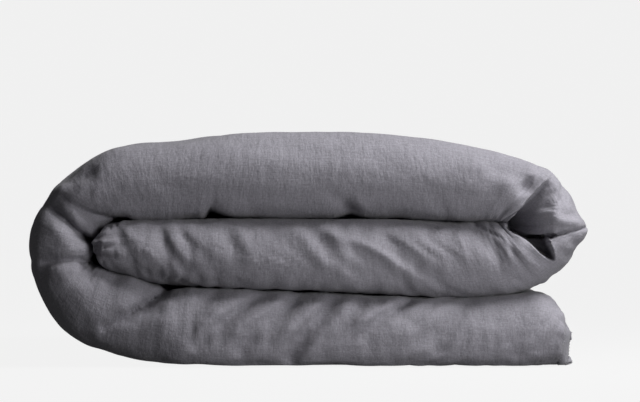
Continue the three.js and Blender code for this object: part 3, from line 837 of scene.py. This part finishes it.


# ---- seams: a narrow flange wherever the two panels of the cover meet
def sewn(name, edge, out, up, part, width=0.006, thick=0.0022):
    """A flange along an edge: out is the way it stands out, and up is across its thickness."""
    across = [(-0.5, 0.6), (0.3, 0.75), (0.85, 0.6), (1, 0), (0.85, -0.6), (0.3, -0.75), (-0.5, -0.6)]
    rings = [edge + out * (width * a) + up * (thick / 2 * b) for a, b in across]
    p = np.stack(rings + rings[:1], axis=1)
    p[..., 2] = np.maximum(p[..., 2], GROUND_SKIN)
    uv = pairs(lengths_along(edge), np.linspace(0, 0.016, p.shape[1]))
    obj = grid_piece(name, p, HEM, uv)
    carried(obj, part)


# Midway between the cover's two panels, and the way from the lining to the face a little in from an edge.
BETWEEN = (FACE + LINING) / 2
THROUGH = unit(FACE - LINING)
SEAM_STEP = 2
for part, rows in PARTS.items():
    for side, column, within in (("inner", 0, 8), ("outer", -1, -9)):
        edge = BETWEEN[rows, column][::SEAM_STEP]
        up = THROUGH[rows, within][::SEAM_STEP]
        sewn(f"side_seam_{part}_{side}", edge, np.tile(Y_AXIS, (len(edge), 1)), up, part)
edge = BETWEEN[-1][::SEAM_STEP]
up = THROUGH[-12][::SEAM_STEP]
sewn("end_seam_middle", edge, np.tile(-X_AXIS, (len(edge), 1)), up, "middle", width=0.002)

# ---- the buttoned end: two hems, one on each panel, held together by six buttons
BAND_WIDTH = 0.023
BAND_CLOTH = 0.0014
HEM_CLEAR = 0.0028
MIDLINE = BETWEEN[0]


def hem_surface(offset, outs):
    """The buttoned end's hem, offset along its normal: rows run out from the seam, columns along the hem."""
    above = smooth(math.radians(10), math.radians(85), -ANGLE_FINE)
    below = smooth(math.radians(10), math.radians(85), ANGLE_FINE)
    run = lengths_along(MIDLINE)
    wave = (0.6 * np.sin(run * 29 + 1) + 0.4 * np.sin(run * 71 + 2)) * (above + below)
    flat = smooth(FRONT + 0.03, FRONT + 0.11, MIDLINE[:, 1])
    down = np.stack([np.zeros_like(above), 1 - above - below, -above - 2 * below], axis=-1)
    down /= np.linalg.norm(down, axis=-1, keepdims=True)
    p = MIDLINE
    rows = [p]
    for step, out in zip(np.diff(outs), outs[1:]):
        lean = np.radians(np.clip(50 + 32 * (out / BAND_WIDTH) + 6 * wave, 0, 88))
        lean = lean * (1 - 0.93 * below * flat)
        p = p + step * (np.cos(lean)[:, None] * X_AXIS + np.sin(lean)[:, None] * down)
        rows.append(p)
    p = np.array(rows)
    p[..., 2] = np.maximum(p[..., 2], HEM_CLEAR)
    n = -normals(p)
    return p + n * offset, n


def hem_band(name, near, far):
    """One hem: doubled cloth from near to far off the midline, with its free edge rounded."""
    outs = np.append(np.linspace(0, BAND_WIDTH - 0.002, 9), [BAND_WIDTH - 0.0008, BAND_WIDTH])
    middle = (near + far) / 2
    swell = np.append(np.ones(9), [0.8, 0.25])
    surfaces = {}
    for edge in (near, far):
        levels = [hem_surface(middle + (edge - middle) * w, outs)[0][k] for k, w in enumerate(swell)]
        surfaces[edge] = np.array(levels)
    along = lengths_along(surfaces[far][0])
    lowest, highest = sorted((near, far))
    obj = closed_pad(name, surfaces[lowest], surfaces[highest], pairs(outs, along), HEM)
    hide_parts(name.replace("hem_", "") + "_band")
    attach(obj, "lower_layer")
    return obj


def merged(name, chunks, material):
    """One mesh object from many (points, faces) pairs."""
    points, faces, n = [], [], 0
    for p, f in chunks:
        points.append(np.asarray(p))
        faces += [[n + i for i in face] for face in f]
        n += len(p)
    return add_mesh(name, np.concatenate(points), faces, material)


def ring_faces(rings, sides, closed=True):
    """The faces between rings of points, and from the last ring to the first when they close."""
    faces = []
    for i in range(rings if closed else rings - 1):
        j = (i + 1) % rings
        for k in range(sides):
            after = (k + 1) % sides
            faces.append([i * sides + k, i * sides + after, j * sides + after, j * sides + k])
    return faces


def tube(path, radius, sides=6, squash=1.0, up=(0, 0, 1), closed=False):
    """Points and faces of a tube along a path, with rounded ends unless it is closed."""
    path = np.asarray(path, float)
    along = np.gradient(path, axis=0)
    if closed:
        along = np.roll(path, -1, axis=0) - np.roll(path, 1, axis=0)
    along = unit(along)
    a = unit(np.cross(along, np.asarray(up, float)))
    b = np.cross(a, along)
    turn = 2 * np.pi * np.arange(sides) / sides
    r = np.full(len(path), radius) if np.ndim(radius) == 0 else np.asarray(radius)
    ring = np.cos(turn)[None, :, None] * a[:, None] + squash * np.sin(turn)[None, :, None] * b[:, None]
    p = (path[:, None] + r[:, None, None] * ring).reshape(-1, 3)
    faces = ring_faces(len(path), sides, closed)
    if not closed:
        faces += [list(range(sides))[::-1], [len(p) - sides + k for k in range(sides)]]
    return p, faces


def stitch_run(path, normal, pitch=0.0036, length=0.0026, radius=0.00035):
    """A row of stitches along a path, each sunk at its ends into the cloth below it."""
    run = lengths_along(path)
    chunks = []
    for start in np.arange(pitch / 2, run[-1] - length, pitch):
        at = np.linspace(start, start + length, 4)
        p = np.stack([np.interp(at, run, path[:, k]) for k in range(3)], axis=1)
        n = np.array([np.interp(start, run, normal[:, k]) for k in range(3)])
        p = p + n * np.array([-0.0004, 0.0001, 0.0001, -0.0004])[:, None]
        chunks.append(tube(p, radius, 5, 0.8, up=n))
    return chunks


HEM_GAP = 0.0002
THREAD_LIFT = 0.0001
OUTS = np.linspace(0, BAND_WIDTH, 24)
OVER, OVER_NORMAL = hem_surface(HEM_GAP + BAND_CLOTH + THREAD_LIFT, OUTS)
hem_band("hem_buttonhole", HEM_GAP, HEM_GAP + BAND_CLOTH)
hem_band("hem_button", -HEM_GAP, -HEM_GAP - BAND_CLOTH)

chunks = stitch_run(OVER[2], OVER_NORMAL[2]) + stitch_run(OVER[-4], OVER_NORMAL[-4])
hem_stitches = merged("hem_stitching", chunks, THREAD)
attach(hem_stitches, "lower_layer")


# How far the button's four holes are from its middle, in X and in Y.
HOLE = 0.00165


def mesh_of(name, bm):
    mesh = bpy.data.meshes.new(name)
    bm.to_mesh(mesh)
    bm.free()
    return mesh


def button_mesh():
    """A four-hole button: a dished face inside a rolled rim, 15 mm across."""
    profile = [
        (0.0, 0.0), (0.0045, 0.0), (0.0062, 0.0002), (0.0071, 0.0007), (0.0075, 0.0014),
        (0.0074, 0.0021), (0.0070, 0.0027), (0.0063, 0.0030), (0.0056, 0.0028), (0.0050, 0.0023),
        (0.0042, 0.0021), (0.0, 0.0020),
    ]
    sides = 40
    bm = bmesh.new()
    rings = []
    for r, z in profile:
        if r == 0:
            rings.append([bm.verts.new((0, 0, z))])
        else:
            turn = [2 * math.pi * k / sides for k in range(sides)]
            rings.append([bm.verts.new((r * math.cos(t), r * math.sin(t), z)) for t in turn])
    for low, high in zip(rings, rings[1:]):
        for k in range(sides):
            j = (k + 1) % sides
            corners = [low[k % len(low)], low[j % len(low)], high[j % len(high)], high[k % len(high)]]
            bm.faces.new(list(dict.fromkeys(corners)))
    body = added("button_body", mesh_of("button_disc", bm))
    bm = bmesh.new()
    drill = dict(cap_ends=True, segments=14, radius1=0.00085, radius2=0.00085, depth=0.008)
    for x, y in ((HOLE, HOLE), (HOLE, -HOLE), (-HOLE, HOLE), (-HOLE, -HOLE)):
        bmesh.ops.create_cone(bm, matrix=Matrix.Translation((x, y, 0.001)), **drill)
    cutter = added("button_cutter", mesh_of("button_drill", bm))
    cut = body.modifiers.new("holes", "BOOLEAN")
    cut.object = cutter
    cut.solver = "EXACT"
    done = bpy.data.meshes.new_from_object(body.evaluated_get(bpy.context.evaluated_depsgraph_get()))
    done.name = "button"
    for o in (body, cutter):
        bpy.data.objects.remove(o)
    done.materials.clear()
    done.materials.append(HORN)
    done.polygons.foreach_set("use_smooth", np.ones(len(done.polygons), bool))
    done.set_sharp_from_angle(angle=math.radians(38))
    return done


BUTTON = button_mesh()
SEWN = OUTS.searchsorted(BAND_WIDTH / 2)
CREST = 0.035
STRAND_GAP = 0.00032


def sewing(local, basis):
    """A button's stitches: three strands over each pair of its holes, and a wound shank under it."""
    strands = []
    rise = [(0.0017, 0.0019), (HOLE, 0.0034), (0.001, 0.00395)]
    for side in (-1, 1):
        for nudge, crown in ((-STRAND_GAP, 0.0041), (0.0, 0.0043), (STRAND_GAP, 0.0041)):
            y = side * HOLE + nudge
            bar = [(-x, y, h) for x, h in rise] + [(0, y, crown)] + [(x, y, h) for x, h in rise[::-1]]
            strands.append(tube(local(bar), 0.00022, up=basis[:, 1]))
    turns = np.linspace(0, 2 * np.pi * 5, 70)
    climb = np.linspace(-0.0002, 0.0017, 70)
    shank = np.stack([0.00115 * np.cos(turns), 0.00115 * np.sin(turns), climb], axis=1)
    strands.append(tube(local(shank), 0.00026, up=basis[:, 2]))
    core = [(0, 0, -0.0016), (0, 0, 0), (0, 0, 0.0017)]
    strands.append(tube(local(core), 0.001, 8, up=basis[:, 0]))
    return strands


def buttoned(k):
    """One button sewn on where the CAD has it. Returns the whipped oval of the buttonhole under it."""
    low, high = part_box(f"button_{k}")
    y, z = (low[1] + high[1]) / 2, (low[2] + high[2]) / 2
    other_ply = (OVER[SEWN][:, 2] > CREST) != (z > CREST)
    c = int(np.argmin(np.abs(OVER[SEWN][:, 1] - y) + 9 * other_ply))
    here, up = OVER[SEWN, c], OVER_NORMAL[SEWN, c]
    along = OVER[SEWN, c + 1] - OVER[SEWN, c - 1]
    along = unit(along - up * np.dot(along, up))
    basis = np.stack([along, np.cross(up, along), up], axis=1)

    def local(points):
        return here + np.asarray(points, float) @ basis.T

    place = Matrix(np.column_stack([basis, here + up * 0.0016]).tolist() + [[0, 0, 0, 1]])
    button = added(f"cover_button_{k}", BUTTON.copy())
    button.data.transform(place @ Matrix.Rotation(0.35 * math.sin(7 * k), 4, "Z"))
    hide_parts(f"button_{k}")
    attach(button, "lower_layer")
    thread = merged(f"button_stitching_{k}", sewing(local, basis), THREAD)
    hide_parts(f"button_thread_{k}")
    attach(thread, "lower_layer")
    t = np.linspace(0, 2 * np.pi, 96, endpoint=False)
    whip = 1 + 0.28 * np.cos(48 * t)
    long_way = 0.0102 * np.sign(np.cos(t)) * np.abs(np.cos(t)) ** 0.8
    oval = np.stack([long_way, 0.0013 * np.sin(t), 0 * t], axis=1)
    return tube(local(oval), 0.00042 * whip, 6, 0.9, up=up, closed=True)


holes = merged("buttonhole_stitching", [buttoned(k) for k in range(1, 7)], THREAD)
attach(holes, "lower_layer")


# ---- cotton tape: a loop on each corner of the duvet, and a tie from the cover's corner through it
def ring_of_tape(name, towards, standing, body):
    """A flattened ring of tape in the space of the node it replaces; towards is its long way, in X and Y."""
    low, high = (np.array(v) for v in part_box(name))
    middle = (low + high) / 2
    long_way = np.array([towards, 1.0, 0.0]) / math.sqrt(2)
    side_way = np.array([1.0, -towards, 0.0]) / math.sqrt(2)
    a, b = (Z_AXIS, side_way) if standing else (side_way, Z_AXIS)
    half_long = 0.0075 if standing else (high[0] - low[0] - 0.0064) / math.sqrt(2) + 0.0005
    half_wide, half_tape, half_thick = 0.0040, 0.0019, 0.0009
    t = np.linspace(0, 2 * np.pi, 40, endpoint=False)
    x = half_long * np.cos(t)
    y = half_wide * np.sign(np.sin(t)) * np.abs(np.sin(t)) ** 0.75 * (1 - 0.1 * np.cos(t))
    centre = middle + x[:, None] * long_way + y[:, None] * a
    out = unit(np.cos(t)[:, None] * long_way * 0.5 + np.sin(t)[:, None] * a)
    section = [(-1, 0.35), (0, 0.42), (1, 0.35), (1, -0.35), (0, -0.42), (-1, -0.35)]
    p = np.stack([centre + b * (w * half_tape) + out * (h * half_thick) for w, h in section], axis=1)
    uv = pairs(half_long * t, np.linspace(0, 0.008, len(section))).reshape(-1, 2)
    obj = add_mesh(f"tape_{name}", p.reshape(-1, 3), ring_faces(len(t), len(section)), TAPE, uv)
    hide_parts(name)
    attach(obj, body)


for where, towards, body in (("lower", 1, "lower_layer"), ("middle", -1, "upper_pack")):
    for ply in ("bottom", "top"):
        ring_of_tape(f"insert_loop_{where}_{ply}", towards, False, body)
        ring_of_tape(f"corner_tie_{where}_{ply}", towards, True, body)


# ---- care label: a blank folded tab, sewn into the side seam
def care_label():
    (x0, y0, z0), (x1, _, _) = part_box("care_label")
    seam = BETWEEN[PARTS["lower"], 0][::-1]
    top = float(np.interp((x0 + x1) / 2, seam[:, 0], seam[:, 2]))
    drop = top - z0 - 0.002
    # down one leaf, round the fold and up the other, as depth in metres and height in shares of the drop
    leaves = [
        (0.0002, 0.0), (0.0012, -0.25), (0.0022, -0.55), (0.0026, -0.85), (0.0031, -0.985), (0.0037, -1.0),
        (0.0043, -0.985), (0.0048, -0.85), (0.0047, -0.55), (0.0034, -0.25), (0.0014, 0.0),
    ]
    curve = np.array([(y0 + 0.0003 + y, top + h * drop) for y, h in leaves])
    line = spline(curve, np.linspace(0, len(curve) - 1, 56))
    across = np.linspace(x0, x1, 22)
    turn = np.linspace(0, 1, len(line))[:, None]
    ripple = 0.0004 * np.sin(9 * (across - x0) / (x1 - x0))[None, :] * np.sin(np.pi * turn)
    p = np.stack(np.broadcast_arrays(across[None, :], line[:, :1] + ripple, line[:, 1:]), axis=-1)
    half_thick = normals(p) * 0.00012
    run = lengths_along(line)
    obj = closed_pad("care_label_tab", p + half_thick, p - half_thick, pairs(run, across - x0), SATIN)
    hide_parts("care_label")
    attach(obj, "lower_layer")


care_label()


# ---------------------------------------------------------------- studio
def sweep():
    """A pale paper that runs from under the duvet up behind it, and that lights nothing."""
    wide, near, far, bend = 25, -25.0, 20.0, 3
    turn = np.radians(np.linspace(8, 90, 12))
    cove = [(far + bend * math.sin(a), bend - bend * math.cos(a)) for a in turn]
    profile = [(near, 0.0), (far, 0.0), *cove, (far + bend, 25.0)]
    points = [(x, y, z) for y, z in profile for x in (-wide, wide)]
    paper, _, b = shader("studio_paper", (0.03, 0.03, 0.03), 1.0)
    b.inputs["Specular IOR Level"].default_value = 0
    b.inputs["Emission Color"].default_value = (1, 1, 1, 1)
    b.inputs["Emission Strength"].default_value = 0.872
    faces = [(2 * i, 2 * i + 1, 2 * i + 3, 2 * i + 2) for i in range(len(profile) - 1)]
    obj = add_mesh("studio_sweep", points, faces, paper)
    obj.visible_diffuse = obj.visible_glossy = False


def lamp(name, place, target, size, power):
    data = bpy.data.lights.new(name, "AREA")
    data.size = size
    data.energy = power
    o = added(name, data)
    o.location = place
    o.rotation_euler = (Vector(target) - Vector(place)).to_track_quat("-Z", "Y").to_euler()
    o.visible_camera = False


def studio():
    sweep()
    world = bpy.data.worlds.new("studio")
    world.use_nodes = True
    background = world.node_tree.nodes["Background"]
    background.inputs["Color"].default_value = (1, 1, 1, 1)
    background.inputs["Strength"].default_value = 0.07
    bpy.context.scene.world = world
    lamp("key", (0.70, -0.50, 1.10), (0.0, -0.25, 0.12), 0.6, 21)
    lamp("fill", (1.35, -1.8, 0.24), (0.05, -0.3, 0.05), 1.0, 26)
    lamp("bounce", (0.24, -0.71, 0.002), (0.24, -0.71, 1.0), 0.7, 0.75)

    cam = bpy.data.cameras.new("camera")
    cam.sensor_width = 36
    cam.lens = 205.5
    o = added("camera", cam)
    o.location = (0.0121, FRONT - 4.0, 0.1823)
    o.rotation_euler = (math.pi / 2, 0, 0)
    bpy.context.scene.camera = o


studio()
bpy.context.scene.view_settings.view_transform = "Standard"
